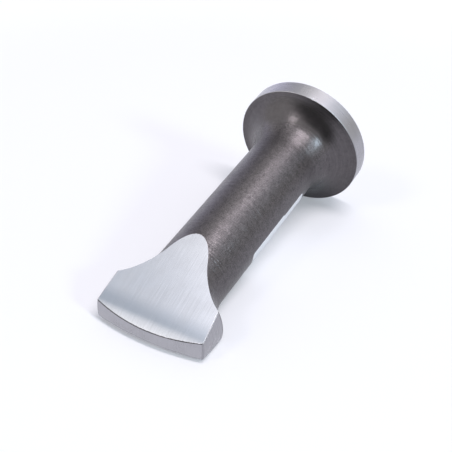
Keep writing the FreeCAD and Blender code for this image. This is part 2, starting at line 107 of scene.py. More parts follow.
class Graph:
    """A node tree, with short ways to add its nodes and join them."""

    def __init__(self, tree: bpy.types.NodeTree) -> None:
        """Takes over the node tree of a material, a group or the world."""
        self.tree = tree

    def add(self, kind: str, **settings: object) -> bpy.types.Node:
        """Adds a node.

        Args:
            kind: the node's type.
            settings: properties of the node, by name.

        Returns:
            The new node.
        """
        node = self.tree.nodes.new(kind)
        for name, value in settings.items():
            setattr(node, name, value)
        return node

    def feed(self, socket: Socket, value: object) -> None:
        """Gives an input a value, or joins it to an output.

        Args:
            socket: the input.
            value: an output, a number, or a row of numbers.
        """
        if isinstance(value, bpy.types.NodeSocket):
            self.tree.links.new(value, socket)
        else:
            socket.default_value = value

    def maths(self, operation: str, *values: object) -> Socket:
        """Adds a Math node.

        Args:
            operation: what it works out.
            values: its inputs in order.

        Returns:
            The result.
        """
        node = self.add("ShaderNodeMath", operation=operation)
        for socket, value in zip(node.inputs, values):
            self.feed(socket, value)
        return node.outputs[0]

    def fold(self, operation: str, first: Socket, *others: Socket) -> Socket:
        """Takes numbers together one after the other.

        Args:
            operation: how two of them are taken together.
            first: the first number.
            others: the rest of them.

        Returns:
            The result.
        """
        for other in others:
            first = self.maths(operation, first, other)
        return first

    def vector(self, operation: str, *values: object) -> bpy.types.Node:
        """Adds a Vector Math node.

        Args:
            operation: what it works out.
            values: its inputs in order.

        Returns:
            The node, which has a Vector and a Value output.
        """
        node = self.add("ShaderNodeVectorMath", operation=operation)
        for socket, value in zip(node.inputs, values):
            self.feed(socket, value)
        return node

    def times(self, first: object, second: object) -> Socket:
        """Returns two vectors or colours multiplied part by part."""
        return self.vector("MULTIPLY", first, second).outputs[0]

    def dot(self, way: Socket, other: Triple) -> Socket:
        """Returns the cosine of the angle between two directions."""
        return self.vector("DOT_PRODUCT", way, other).outputs["Value"]

    def length(self, way: Socket) -> Socket:
        """Returns the length of a vector."""
        return self.vector("LENGTH", way).outputs["Value"]

    def split(self, point: Socket) -> tuple[Socket, ...]:
        """Takes a vector apart.

        Args:
            point: the vector.

        Returns:
            Its three parts.
        """
        node = self.add("ShaderNodeSeparateXYZ")
        self.feed(node.inputs[0], point)
        return tuple(node.outputs)

    def join(self, *parts: Socket) -> Socket:
        """Makes a vector.

        Args:
            parts: its parts in order, where a last one that is left out is 0.

        Returns:
            The vector.
        """
        node = self.add("ShaderNodeCombineXYZ")
        for socket, part in zip(node.inputs, parts):
            self.feed(socket, part)
        return node.outputs[0]

    def step(self, value: Socket, ramp: Ramp) -> Socket:
        """Changes smoothly from 0 at one value to 1 at another.

        Args:
            value: what is compared.
            ramp: where the result is 0 and where it is 1, which may be the lower of the two.

        Returns:
            The step.
        """
        rising = ramp[1] > ramp[0]
        node = self.add("ShaderNodeMapRange", interpolation_type="SMOOTHSTEP")
        self.feed(node.inputs["Value"], value)
        node.inputs["From Min"].default_value = min(ramp)
        node.inputs["From Max"].default_value = max(ramp)
        node.inputs["To Min"].default_value = 0.0 if rising else 1.0
        node.inputs["To Max"].default_value = 1.0 if rising else 0.0
        return node.outputs["Result"]

    def spread(self, value: Socket, low: float, high: float) -> Socket:
        """Carries a value from 0 to 1 over to another range.

        Args:
            value: from 0 to 1.
            low: the result at 0.
            high: the result at 1.

        Returns:
            The result.
        """
        node = self.add("ShaderNodeMapRange")
        self.feed(node.inputs["Value"], value)
        self.feed(node.inputs["To Min"], low)
        self.feed(node.inputs["To Max"], high)
        return node.outputs["Result"]

    def mix(self, what: Mixed, share: Socket, first: object, second: object) -> Socket:
        """Mixes two numbers or two colours.

        Args:
            what: whether they are numbers or colours.
            share: how much of the second there is.
            first: a number or a colour.
            second: a number or a colour.

        Returns:
            The mixed number or colour.
        """
        kind, first_place, second_place, result_place = what.value
        node = self.add("ShaderNodeMix", data_type=kind, clamp_factor=True)
        self.feed(node.inputs[0], share)
        self.feed(node.inputs[first_place], first)
        self.feed(node.inputs[second_place], second)
        return node.outputs[result_place]

    def tint(self, colour: object, shade: Socket) -> Socket:
        """Makes a colour lighter or darker.

        Args:
            colour: a colour.
            shade: what it is multiplied by.

        Returns:
            The lighter or darker colour.
        """
        node = self.vector("SCALE", colour)
        self.feed(node.inputs["Scale"], shade)
        return node.outputs[0]

    def noise(self, place: Socket, fineness: object, detail: float) -> Socket:
        """Adds a Noise Texture.

        Args:
            place: where it is read, in millimetres.
            fineness: how many of its spots lie in a millimetre.
            detail: how many finer layers it has.

        Returns:
            A value around 0.5.
        """
        node = self.add("ShaderNodeTexNoise", noise_dimensions="3D")
        self.feed(node.inputs["Vector"], place)
        self.feed(node.inputs["Scale"], fineness)
        node.inputs["Detail"].default_value = detail
        return node.outputs[0]


class Material:
    """A new material, with its nodes and the inputs of its shader."""

    def __init__(self, name: str) -> None:
        """Makes the material under its name."""
        self.data = bpy.data.materials.new(name)
        self.data.use_nodes = True
        self.graph = Graph(self.data.node_tree)
        self.sockets = self.data.node_tree.nodes["Principled BSDF"].inputs

    def feed(self, name: str, value: Socket) -> None:
        """Joins a named input of the shader to what varies over the surface."""
        self.graph.feed(self.sockets[name], value)

    def emboss(self, height: Socket, depth: float) -> None:
        """Gives the surface its fine relief.

        Args:
            height: the relief, where 1 is the full depth.
            depth: the full depth in millimetres.
        """
        bump = self.graph.add("ShaderNodeBump")
        bump.inputs["Distance"].default_value = depth * MILLIMETRE
        self.graph.feed(bump.inputs["Height"], height)
        self.feed("Normal", bump.outputs[0])


class Group:
    """A shader node group with named sockets."""

    def __init__(self, name: str, inputs: dict[str, str], outputs: tuple[str, ...]) -> None:
        """Makes the empty group.

        Args:
            name: the group's name.
            inputs: each input's name and kind of socket.
            outputs: the names of its outputs, which are numbers.
        """
        self.tree = bpy.data.node_groups.new(name, "ShaderNodeTree")
        for label, kind in inputs.items():
            self.tree.interface.new_socket(label, in_out="INPUT", socket_type=kind)
        for label in outputs:
            self.tree.interface.new_socket(label, in_out="OUTPUT", socket_type=FLOAT)
        self.graph = Graph(self.tree)
        self.given = self.graph.add("NodeGroupInput").outputs
        self.result = self.graph.add("NodeGroupOutput").inputs

    def place_in(self, graph: Graph, **values: object) -> bpy.types.bpy_prop_collection:
        """Places the group in a material.

        Args:
            graph: the material's nodes.
            values: its inputs, by name.

        Returns:
            The group's outputs.
        """
        node = graph.add("ShaderNodeGroup", node_tree=self.tree)
        for name, value in values.items():
            graph.feed(node.inputs[name], value)
        return node.outputs

    def put_out_relief(self, main: Socket, second: Socket, share: float) -> None:
        """Puts out a height around 0.5 and a shade around 1, made of two layers of noise.

        Args:
            main: the stronger layer.
            second: the weaker layer.
            share: how much of the second there is.
        """
        graph = self.graph
        scaled = graph.maths("MULTIPLY", main, 1.0 - share)
        height = graph.maths("MULTIPLY_ADD", second, share, scaled)
        around_zero = graph.maths("SUBTRACT", height, 0.5)
        shade = graph.maths("MULTIPLY_ADD", around_zero, self.given["Contrast"], 1.0)
        graph.feed(self.result["Height"], height)
        graph.feed(self.result["Shade"], shade)


class Effects:
    """The shader groups that the finishes share.

    The grain and the marks each have a second layer, with its own part of the fineness and
    its own share of the whole. A smudge shows between two levels of a cloudy noise.
    """

    COARSE_GRAIN = 0.23
    COARSE_GRAIN_SHARE = 0.25
    BROAD_MARKS = 0.37
    BROAD_MARKS_SHARE = 0.45
    SMUDGE = (0.38, 0.66)

    def __init__(self) -> None:
        """Builds each group once."""
        self.grain = self.make_grain()
        self.marks = self.make_marks()
        self.handling = self.make_handling()

    def make_grain(self) -> Group:
        """Builds fine grain, which is even in all directions.

        Returns:
            The group, with a height and a shade around 1.
        """
        inputs = {"Place": VECTOR, "Fineness": FLOAT, "Contrast": FLOAT}
        group = Group("grain", inputs, ("Height", "Shade"))
        graph, given = group.graph, group.given
        fine = graph.noise(given["Place"], given["Fineness"], detail=3.0)
        fineness = graph.maths("MULTIPLY", given["Fineness"], self.COARSE_GRAIN)
        coarse = graph.noise(given["Place"], fineness, detail=1.0)
        group.put_out_relief(fine, coarse, self.COARSE_GRAIN_SHARE)
        return group

    def make_marks(self) -> Group:
        """Builds the fine lines that a lathe or a belt leaves.

        Returns:
            The group, which reads its place with the first axis along the lines.
        """
        inputs = {"Place": VECTOR, "Fineness": FLOAT, "Length": FLOAT, "Contrast": FLOAT}
        group = Group("tool_marks", inputs, ("Height", "Shade"))
        graph, given = group.graph, group.given
        x, y, z = graph.split(given["Place"])
        along = graph.maths("DIVIDE", x, given["Length"])
        layers = []
        for part in (1.0, self.BROAD_MARKS):
            fineness = graph.maths("MULTIPLY", given["Fineness"], part)
            across = [graph.maths("MULTIPLY", side, fineness) for side in (y, z)]
            layers.append(graph.noise(graph.join(along, *across), 1.0, detail=2.0))
        group.put_out_relief(*layers, self.BROAD_MARKS_SHARE)
        return group

    def make_handling(self) -> Group:
        """Builds the cloudy unevenness that handling leaves.

        Returns:
            The group, with a mask from 0 to 1.
        """
        group = Group("handling", {"Place": VECTOR, "Size": FLOAT}, ("Smudge",))
        graph, given = group.graph, group.given
        fineness = graph.maths("DIVIDE", 1.0, given["Size"])
        cloud = graph.noise(given["Place"], fineness, detail=4.0)
        graph.feed(group.result["Smudge"], graph.step(cloud, self.SMUDGE))
        return group


@dataclass(frozen=True)
class Coat:
    """The dark phosphate coat that the forging keeps where it wasn't ground.

    It is smoother and more even on the flares, which begin where the radius grows past the
    shaft's. Lengths are in millimetres, and a fineness is in spots or lines for each.
    """

    colour: Triple = (0.118, 0.109, 0.113)
    metallic: float = 0.95
    shaft_roughness: float = 0.33
    flare_roughness: float = 0.22
    smudge_roughness: Ramp = (-0.02, 0.03)
    grain_fineness: float = 2.3
    shaft_grain: float = 2.4
    flare_grain: float = 1.2
    grain_depth: float = 0.05
    turning_fineness: float = 4.2
    turning_length: float = 30.0
    turning_contrast: float = 0.6
    shaft_depth: float = 0.2
    flare_depth: float = 0.08
    flare_radius: Ramp = (15.2, 19.0)


@dataclass(frozen=True)
class BareSteel:
    """Steel with its skin turned or ground off, and the marks that the tool left in it.

    The marks' length and depth are in millimetres, and their fineness is in lines for each.
    """

    colour: Triple
    roughness: float
    lay: Lay
    fineness: float
    length: float
    contrast: float
    depth: float
    roughness_swing: float = 0.03


@dataclass(frozen=True)
class Paper:
    """Blank white label paper, with lengths in millimetres."""

    colour: Triple = (0.85, 0.86, 0.88)
    roughness: float = 0.55
    roughness_swing: float = 0.08
    smudge_size: float = 7.0
    fibre_fineness: float = 4.0
    fibre_contrast: float = 0.08
    fibre_depth: float = 0.01


@dataclass(frozen=True)
class Look:
    """What one finish, or a mix of them, gives to the shader."""

    colour: Socket
    roughness: Socket
    height: Socket

    def covered(self, graph: Graph, mask: Socket, other: "Look") -> "Look":
        """Covers this look with another one.

        Args:
            graph: the material's nodes.
            mask: where the other look lies.
            other: the look that covers this one.

        Returns:
            The two together.
        """
        return Look(
            graph.mix(Mixed.COLOURS, mask, self.colour, other.colour),
            graph.mix(Mixed.NUMBERS, mask, self.roughness, other.roughness),
            graph.mix(Mixed.NUMBERS, mask, self.height, other.height),
        )


@dataclass(frozen=True)
class ToolAxes:
    """The axes of the tool: x from the head's shoulder to the toe, z up from the shaft.

    The tool lies tilted on the bench by an angle in degrees, and its axes begin at a shift in
    millimetres from the model's.
    """

    tilt: float = 10.8
    shift: Triple = (-52.4581, 0.0, 27.4628)

    def place(self, graph: Graph) -> Socket:
        """Reads a point of a piece in the axes of the tool.

        Args:
            graph: the material's nodes.

        Returns:
            The point, in millimetres.
        """
        coordinates = graph.add("ShaderNodeTexCoord")
        mapping = graph.add("ShaderNodeMapping", vector_type="TEXTURE")
        graph.feed(mapping.inputs["Vector"], coordinates.outputs["Object"])
        mapping.inputs["Location"].default_value = [v * MILLIMETRE for v in self.shift]
        mapping.inputs["Rotation"].default_value = (0.0, math.radians(self.tilt), 0.0)
        mapping.inputs["Scale"].default_value = (MILLIMETRE,) * 3
        return mapping.outputs["Vector"]

    def matrix(self) -> Matrix:
        """Works out how a mesh in the tool's axes comes to its place in the model.

        Returns:
            The matrix, which also turns millimetres into metres.
        """
        turn = Matrix.Rotation(math.radians(self.tilt), 4, "Y")
        place = Matrix.Translation(Vector(self.shift) * MILLIMETRE)
        return place @ turn @ Matrix.Scale(MILLIMETRE, 4)

    def leaning(self, angle: float) -> Triple:
        """Returns a direction of the model that leans from the tool's z axis to its x axis."""
        lean = math.radians(angle + self.tilt)
        return (math.sin(lean), 0.0, math.cos(lean))

    def bench_level(self) -> float:
        """Returns the height at which the bench crosses the tool's z axis."""
        return -self.shift[2] / math.cos(math.radians(self.tilt))


@dataclass(frozen=True)
class Spot:
    """A point of the forging in the tool's axes, with the direction that its surface faces.

    Its places have the first part along the marks of each lay.
    """

    point: Socket
    x: Socket
    z: Socket
    radius: Socket
    facing: Socket
    places: dict[Lay, Socket]


@dataclass(frozen=True)
class Limits:
    """Where the zones of the forging begin: where each mask is 0 and where it is 1.

    The first ones are in millimetres: how far off a plane a point lies, its place along the
    tool and its distance from the tool's axis. The others are cosines of the angle between
    the way that the surface faces and another direction.
    """

    off_plane: Ramp = (0.1, 0.02)
    top_flat: Ramp = (60.0, 62.0)
    underside: Ramp = (30.0, 32.0)
    head: Ramp = (5.0, 4.0)
    head_face: Ramp = (-2.0, -2.5)
    toe: Ramp = (103.75, 103.95)
    arris: Ramp = (113.0, 114.0)
    rim_radius: Ramp = (27.75, 27.9)
    edge_radius: Ramp = (26.9, 27.3)
    flat_facing: Ramp = (0.9, 0.97)
    struck_facing: Ramp = (0.93, 0.96)
    arris_facing: Ramp = (0.89, 0.93)
    head_edge_facing: tuple[Ramp, Ramp] = ((0.25, 0.4), (0.97, 0.92))
    toe_edge_facing: tuple[Ramp, Ramp] = ((0.28, 0.38), (0.93, 0.88))


@dataclass(frozen=True)
class Zones:
    """Masks that tell the zones of the forging's surface apart.

    They are the bare steel, the ground flats, the striking face, the arris above that face,
    and the broken edges of the head and the toe.
    """

    bare: Socket
    flats: Socket
    struck: Socket
    arris: Socket
    edges: Socket


@dataclass(frozen=True)
class Forging:
    """The one-piece steel forging, with its coat and its turned and ground surfaces.

    Lengths are in millimetres and angles in degrees. A tone is what the steel's colour is
    multiplied by, and a pair holds its value outside a zone and the one inside.
    """

    toe_radius: float = 23.2
    toe_rim_start: float = 103.6
    top_flat_angle: float = 17.33
    top_flat_height: float = 7.36
    lip_lean: float = 3.0
    # Painted shade on the lip: where it begins, where it is darkest, where it ends, and its colour.
    lip_start: float = 107.5
    lip_middle: float = 114.6
    lip_end: float = 117.2
    lip_painted_shade: Triple = (0.7, 0.73, 0.76)
    arris_way: Triple = (0.883, 0.0, 0.469)
    # Painted shade: the arris above the striking face is darkened to three tenths, a dark line for
    # its rounded edge.
    arris_painted_shade: Ramp = (1.0, 0.3)
    smudge_size: float = 9.0
    smudge_tone: Ramp = (1.02, 0.96)
    smudge_roughness: Ramp = (-0.01, 0.02)
    edge_tone: Ramp = (1.0, 0.94)
    edge_roughness: Ramp = (0.0, 0.17)
    axes: ToolAxes = ToolAxes()
    limits: Limits = Limits()
    coat: Coat = Coat()
    # These are one steel, and the differences between their colours are partly painted light: the
    # ground flats are set nearly twice as light as the turned steel, for the bright light that they
    # reflect.
    turned: BareSteel = BareSteel((0.4, 0.395, 0.415), 0.28, Lay.AROUND, 8.0, 40.0, 0.5, 0.08)
    ground: BareSteel = BareSteel(
        (0.76, 0.77, 0.82), 0.18, Lay.LENGTHWISE, 8.0, 14.0, 0.46, 0.01
    )
    struck: BareSteel = BareSteel((0.455, 0.45, 0.47), 0.26, Lay.UPRIGHT, 4.0, 6.0, 0.35, 0.03)

    def find_spot(self, graph: Graph) -> Spot:
        """Reads where a point of the forging lies and what it faces.

        Args:
            graph: the material's nodes.

        Returns:
            The point.
        """
        point = self.axes.place(graph)
        x, y, z = graph.split(point)
        radius = graph.length(graph.times(point, (0.0, 1.0, 1.0)))
        facing = graph.add("ShaderNodeTexCoord").outputs["Normal"]
        angle = graph.maths("ARCTAN2", y, z)
        way_round = graph.maths("MULTIPLY", angle, self.toe_radius)
        places = {
            Lay.AROUND: graph.join(way_round, x, radius),
            Lay.LENGTHWISE: graph.join(x, y),
            Lay.UPRIGHT: graph.join(z, y),
        }
        return Spot(point, x, z, radius, facing, places)

    def on_plane(self, graph: Graph, spot: Spot, slope: float, level: float) -> Socket:
        """Marks what lies on a plane that runs level from side to side of the tool.

        Args:
            graph: the material's nodes.
            spot: the point.
            slope: how fast the plane falls towards the toe.
            level: its height where it crosses the tool's z axis.

        Returns:
            The mask.
        """
        height = graph.maths("MULTIPLY_ADD", spot.x, slope, spot.z)
        off = graph.maths("ABSOLUTE", graph.maths("SUBTRACT", height, level))
        return graph.step(off, self.limits.off_plane)

    def bare_zone(self, graph: Graph, spot: Spot) -> Socket:
        """Marks the bare steel: the flats, the head's rim and face, and the whole toe.

        Args:
            graph: the material's nodes.
            spot: the point.

        Returns:
            The mask.
        """
        limits = self.limits
        slope = math.tan(math.radians(self.top_flat_angle))
        level = self.top_flat_height + self.toe_rim_start * slope
        tongue = self.on_plane(graph, spot, slope, level)
        tongue = graph.maths("MULTIPLY", tongue, graph.step(spot.x, limits.top_flat))
        slope = -math.tan(math.radians(self.axes.tilt))
        foot = self.on_plane(graph, spot, slope, self.axes.bench_level())
        foot = graph.maths("MULTIPLY", foot, graph.step(spot.x, limits.underside))
        rim = graph.step(spot.radius, limits.rim_radius)
        rim = graph.maths("MULTIPLY", rim, graph.step(spot.x, limits.head))
        face = graph.step(spot.x, limits.head_face)
        toe = graph.step(spot.x, limits.toe)
        return graph.fold("MAXIMUM", tongue, foot, rim, face, toe)

    def edge_zone(self, graph: Graph, spot: Spot) -> Socket:
        """Marks the broken edges of the head's rim and of the toe's flats.

        Args:
            graph: the material's nodes.
            spot: the point.

        Returns:
            The mask.
        """
        limits = self.limits
        ends = graph.maths("ABSOLUTE", graph.dot(spot.facing, self.axes.leaning(90.0)))
        head = graph.fold(
            "MULTIPLY",
            graph.step(spot.radius, limits.edge_radius),
            graph.step(spot.x, limits.head),
            *(graph.step(ends, ramp) for ramp in limits.head_edge_facing),
        )
        sides = graph.maths("ABSOLUTE", graph.dot(spot.facing, (0.0, 1.0, 0.0)))
        toe = graph.fold(
            "MULTIPLY",
            graph.step(spot.x, limits.toe),
            *(graph.step(sides, ramp) for ramp in limits.toe_edge_facing),
        )
        return graph.maths("MAXIMUM", head, toe)

    def find_zones(self, graph: Graph, spot: Spot) -> Zones:
        """Tells the zones of the surface apart by where they lie and face.

        Args:
            graph: the material's nodes.
            spot: the point.

        Returns:
            The zones.
        """
        limits = self.limits

        def facing(way: Triple, ramp: Ramp) -> Socket:
            """Returns a mask of what faces a direction."""
            return graph.step(graph.dot(spot.facing, way), ramp)

        up = facing(self.axes.leaning(self.top_flat_angle + self.lip_lean), limits.flat_facing)
        down = facing((0.0, 0.0, -1.0), limits.flat_facing)
        flats = graph.maths("MAXIMUM", up, down)
        ahead = facing((1.0, 0.0, 0.0), limits.struck_facing)
        arris = facing(self.arris_way, limits.arris_facing)
        return Zones(
            bare=self.bare_zone(graph, spot),
            flats=graph.maths("MULTIPLY", flats, graph.step(spot.x, limits.underside)),
            struck=graph.maths("MULTIPLY", ahead, graph.step(spot.x, limits.toe)),
            arris=graph.maths("MULTIPLY", arris, graph.step(spot.x, limits.arris)),
            edges=self.edge_zone(graph, spot),
        )

    def coat_look(self, graph: Graph, effects: Effects, spot: Spot, smudge: Socket) -> Look:
        """Works out the dark coat.

        Args:
            graph: the material's nodes.
            effects: the shared groups.
            spot: the point.
            smudge: where handling has left its mark.

        Returns:
            The coat's look.
        """
        coat = self.coat
        flared = graph.step(spot.radius, coat.flare_radius)
        grain = effects.grain.place_in(
            graph,
            Place=spot.point,
            Fineness=coat.grain_fineness,
            Contrast=graph.spread(flared, coat.shaft_grain, coat.flare_grain),
        )
        turning = effects.marks.place_in(
            graph,
            Place=spot.places[Lay.AROUND],
            Fineness=coat.turning_fineness,
            Length=coat.turning_length,
            Contrast=coat.turning_contrast,
        )
        shade = graph.maths("MULTIPLY", grain["Shade"], turning["Shade"])
        roughness = graph.spread(flared, coat.shaft_roughness, coat.flare_roughness)
        worn = graph.spread(smudge, *coat.smudge_roughness)
        depth = graph.spread(flared, coat.shaft_depth, coat.flare_depth)
        pitted = graph.maths("MULTIPLY", grain["Height"], coat.grain_depth)
        return Look(
            graph.tint(coat.colour, shade),
            graph.maths("ADD", roughness, worn),
            graph.maths("MULTIPLY_ADD", turning["Height"], depth, pitted),
        )

    @staticmethod
    def steel_look(graph: Graph, effects: Effects, spot: Spot, steel: BareSteel) -> Look:
        """Works out one bare finish.

        Args:
            graph: the material's nodes.
            effects: the shared groups.
            spot: the point.
            steel: the finish.

        Returns:
            The finish's look.
        """
        marks = effects.marks.place_in(
            graph,
            Place=spot.places[steel.lay],
            Fineness=steel.fineness,
            Length=steel.length,
            Contrast=steel.contrast,
        )
        smooth = steel.roughness - steel.roughness_swing
        rough = steel.roughness + steel.roughness_swing
        return Look(
            graph.tint(steel.colour, marks["Shade"]),
            graph.spread(marks["Height"], smooth, rough),
            graph.maths("MULTIPLY", marks["Height"], steel.depth),
        )

    def bare_look(
        self, graph: Graph, effects: Effects, spot: Spot, zones: Zones, smudge: Socket
    ) -> Look:
        """Works out the bare steel, with its turned, ground and struck surfaces.

        Args:
            graph: the material's nodes.
            effects: the shared groups.
            spot: the point.
            zones: the zones of the surface.
            smudge: where handling has left its mark.

        Returns:
            The bare steel's look.
        """
        look = self.steel_look(graph, effects, spot, self.turned)
        for steel, mask in ((self.ground, zones.flats), (self.struck, zones.struck)):
            look = look.covered(graph, mask, self.steel_look(graph, effects, spot, steel))
        colour = look.colour
        # The arris's tone paints shade along the rounded edge above the striking face.
        tones = (
            (zones.arris, self.arris_painted_shade),
            (smudge, self.smudge_tone),
            (zones.edges, self.edge_tone),
        )
        for mask, tone in tones:
            colour = graph.tint(colour, graph.spread(mask, *tone))
        # Painted shade: where the flat rolls over into the lip, the ground steel is tinted darker
        # and bluish, most at the lip's middle, in place of the darker reflection that the curve
        # catches.
        lip = graph.fold(
            "MULTIPLY",
            graph.step(spot.x, (self.lip_start, self.lip_middle)),
            graph.step(spot.x, (self.lip_end, self.lip_middle)),
            zones.flats,
        )
        shaded_lip = graph.times(colour, self.lip_painted_shade)
        worn = graph.spread(smudge, *self.smudge_roughness)
        return Look(
            graph.mix(Mixed.COLOURS, lip, colour, shaded_lip),
            graph.maths("ADD", look.roughness, worn),
            look.height,
        )

    def dress(self, node: bpy.types.Object, effects: Effects) -> None:
        """Gives the forging its material.

        Args:
            node: the CAD node.
            effects: the shared groups.
        """
        material = Material("forged_steel")
        graph = material.graph
        spot = self.find_spot(graph)
        zones = self.find_zones(graph, spot)
        handled = effects.handling.place_in(graph, Place=spot.point, Size=self.smudge_size)
        smudge = handled["Smudge"]
        coated = self.coat_look(graph, effects, spot, smudge)
        bare = self.bare_look(graph, effects, spot, zones, smudge)
        look = coated.covered(graph, zones.bare, bare)
        edged = graph.spread(zones.edges, *self.edge_roughness)
        material.feed("Base Color", look.colour)
        material.feed("Roughness", graph.maths("ADD", look.roughness, edged))
        material.feed("Metallic", graph.spread(zones.bare, self.coat.metallic, 1.0))
        material.emboss(look.height, 1.0)
        node.data.materials.clear()
        node.data.materials.append(material.data)


@dataclass(frozen=True)
class Label:
    """The blank paper label, a strip cut by hand and bent round the side of the shaft.

    Lengths are in millimetres and angles in degrees from straight above the shaft. The step
    in the upper edge, and the unevenness of the cut, run out towards the lower edge.
    """

    start: float = 24.6
    length: float = 42.0
    width: float = 25.0
    top_angle: float = 92.6
    radius: float = 14.88
    thickness: float = 0.12
    corner: float = 1.5
    step_place: float = 41.0
    step_depth: float = 0.7
    step_slant: Ramp = (-0.15, 0.15)
    unevenness: float = 0.35
    wander_fineness: float = 0.45
    wander_detail: float = 4.0
    points_along: int = 281
    points_across: int = 41
    weld_distance: float = 0.001
    axes: ToolAxes = ToolAxes()
    paper: Paper = Paper()

    def build(self, effects: Effects) -> bpy.types.Object:
        """Makes the strip and puts it in the place of the CAD label.

        Args:
            effects: the shared groups.

        Returns:
            The strip.
        """
        values = {**self.sizes(), "Paper": self.make_material(effects)}
        tree = self.make_tree()
        maker = show("label_maker", bpy.data.meshes.new("label_blank"))
        modifier = maker.modifiers.new("strip", "NODES")
        modifier.node_group = tree
        for item in tree.interface.items_tree:
            if item.in_out == "INPUT":
                modifier[item.identifier] = values[item.name]
        graph = bpy.context.evaluated_depsgraph_get()
        mesh = bpy.data.meshes.new_from_object(maker.evaluated_get(graph), depsgraph=graph)
        bpy.data.objects.remove(maker)
        mesh.name = "paper_label"
        mesh.transform(self.axes.matrix())
        label = show("paper_label", mesh)
        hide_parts(LABEL_NODE)
        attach(label, "root")
        return label

    def sizes(self) -> dict[str, float]:
        """Returns the strip's sizes by the names of the tree's inputs."""
        return {
            "Start": self.start,
            "Length": self.length,
            "Width": self.width,
            "Top Angle": math.radians(self.top_angle),
            "Radius": self.radius,
            "Thickness": self.thickness,
            "Corner": self.corner,
            "Step Place": self.step_place,
            "Step Depth": self.step_depth,
            "Unevenness": self.unevenness,
        }

    def make_tree(self) -> bpy.types.NodeTree:
        """Builds the Geometry Nodes that cut a flat strip and bend it round the shaft.

        Returns:
            The tree, with the label's sizes and its paper as inputs.
        """
        tree = bpy.data.node_groups.new("label_strip", "GeometryNodeTree")
        for name in self.sizes():
            tree.interface.new_socket(name, in_out="INPUT", socket_type=FLOAT)
        tree.interface.new_socket("Paper", in_out="INPUT", socket_type="NodeSocketMaterial")
        tree.interface.new_socket("Strip", in_out="OUTPUT", socket_type="NodeSocketGeometry")
        graph = Graph(tree)
        given = graph.add("NodeGroupInput").outputs

        sheet = graph.add("GeometryNodeMeshGrid")
        graph.feed(sheet.inputs["Size X"], given["Length"])
        graph.feed(sheet.inputs["Size Y"], given["Width"])
        sheet.inputs["Vertices X"].default_value = self.points_along
        sheet.inputs["Vertices Y"].default_value = self.points_across
        x, y, _ = graph.split(graph.add("GeometryNodeInputPosition").outputs[0])
        half = graph.maths("MULTIPLY", given["Length"], 0.5)
        along = graph.maths("ADD", graph.maths("ADD", x, half), given["Start"])
        rounded = self.round_corners(graph, given, x, y)
        height = self.cut_edge(graph, given, along, rounded)
        wrapped = graph.add("GeometryNodeSetPosition")
        graph.feed(wrapped.inputs["Geometry"], sheet.outputs["Mesh"])
        graph.feed(wrapped.inputs["Position"], self.bend(graph, given, along, height))

        real = graph.add("GeometryNodeRealizeInstances")
        closed = self.thicken(graph, given, wrapped.outputs["Geometry"])
        graph.feed(real.inputs["Geometry"], closed)
        papered = graph.add("GeometryNodeSetMaterial")
        graph.feed(papered.inputs["Geometry"], real.outputs["Geometry"])
        graph.feed(papered.inputs["Material"], given["Paper"])
        result = graph.add("NodeGroupOutput")
        graph.feed(result.inputs[0], papered.outputs["Geometry"])
        return tree

    @staticmethod
    def round_corners(
        graph: Graph, given: bpy.types.bpy_prop_collection, x: Socket, y: Socket
    ) -> Socket:
        """Draws the strip in at its two ends, so that its corners are round.

        Args:
            graph: the tree's nodes.
            given: the tree's inputs.
            x: how far a point lies from the middle of the length.
            y: how far it lies above the middle of the width.

        Returns:
            How far it lies above the middle of the width with the corners round.
        """
        half = graph.maths("MULTIPLY", given["Length"], 0.5)
        straight = graph.maths("SUBTRACT", half, given["Corner"])
        past = graph.maths("SUBTRACT", graph.maths("ABSOLUTE", x), straight)
        past = graph.maths("MAXIMUM", past, 0.0)
        square = graph.maths("MULTIPLY", given["Corner"], given["Corner"])
        left = graph.maths("SUBTRACT", square, graph.maths("MULTIPLY", past, past))
        reach = graph.maths("SQRT", graph.maths("MAXIMUM", left, 0.0))
        drop = graph.maths("SUBTRACT", given["Corner"], reach)
        share = graph.maths("DIVIDE", graph.maths("MULTIPLY", drop, 2.0), given["Width"])
        return graph.maths("MULTIPLY", y, graph.maths("SUBTRACT", 1.0, share))

    def cut_edge(
        self,
        graph: Graph,
        given: bpy.types.bpy_prop_collection,
        along: Socket,
        rounded: Socket,
    ) -> Socket:
        """Cuts the upper edge by hand, with its step and its unevenness.

        Args:
            graph: the tree's nodes.
            given: the tree's inputs.
            along: the place of a point along the tool.
            rounded: how far it lies above the middle of the width.

        Returns:
            How far it lies above the middle of the width after the cut.
        """
        short = graph.maths("SUBTRACT", given["Step Place"], along)
        cut = graph.maths("MULTIPLY", graph.step(short, self.step_slant), given["Step Depth"])
        wander = graph.add("ShaderNodeTexNoise", noise_dimensions="1D")
        graph.feed(wander.inputs["W"], along)
        wander.inputs["Scale"].default_value = self.wander_fineness
        wander.inputs["Detail"].default_value = self.wander_detail
        uneven = graph.maths("MULTIPLY", wander.outputs[0], given["Unevenness"])
        cut = graph.maths("ADD", cut, uneven)
        upper = graph.maths("ADD", graph.maths("DIVIDE", rounded, given["Width"]), 0.5)
        return graph.maths("SUBTRACT", rounded, graph.maths("MULTIPLY", cut, upper))

    @staticmethod
    def bend(
        graph: Graph, given: bpy.types.bpy_prop_collection, along: Socket, height: Socket
    ) -> Socket:
        """Bends the flat strip round the shaft.

        Args:
            graph: the tree's nodes.
            given: the tree's inputs.
            along: the place of a point along the tool.
            height: how far it lies above the middle of the width.

        Returns:
            The point in the tool's axes.
        """
        half = graph.maths("MULTIPLY", given["Width"], 0.5)
        down = graph.maths("SUBTRACT", half, height)
        angle = graph.maths("DIVIDE", down, given["Radius"])
        angle = graph.maths("ADD", angle, given["Top Angle"])
        y, z = (
            graph.maths("MULTIPLY", graph.maths(turn, angle), given["Radius"])
            for turn in ("SINE", "COSINE")
        )
        return graph.join(along, y, z)

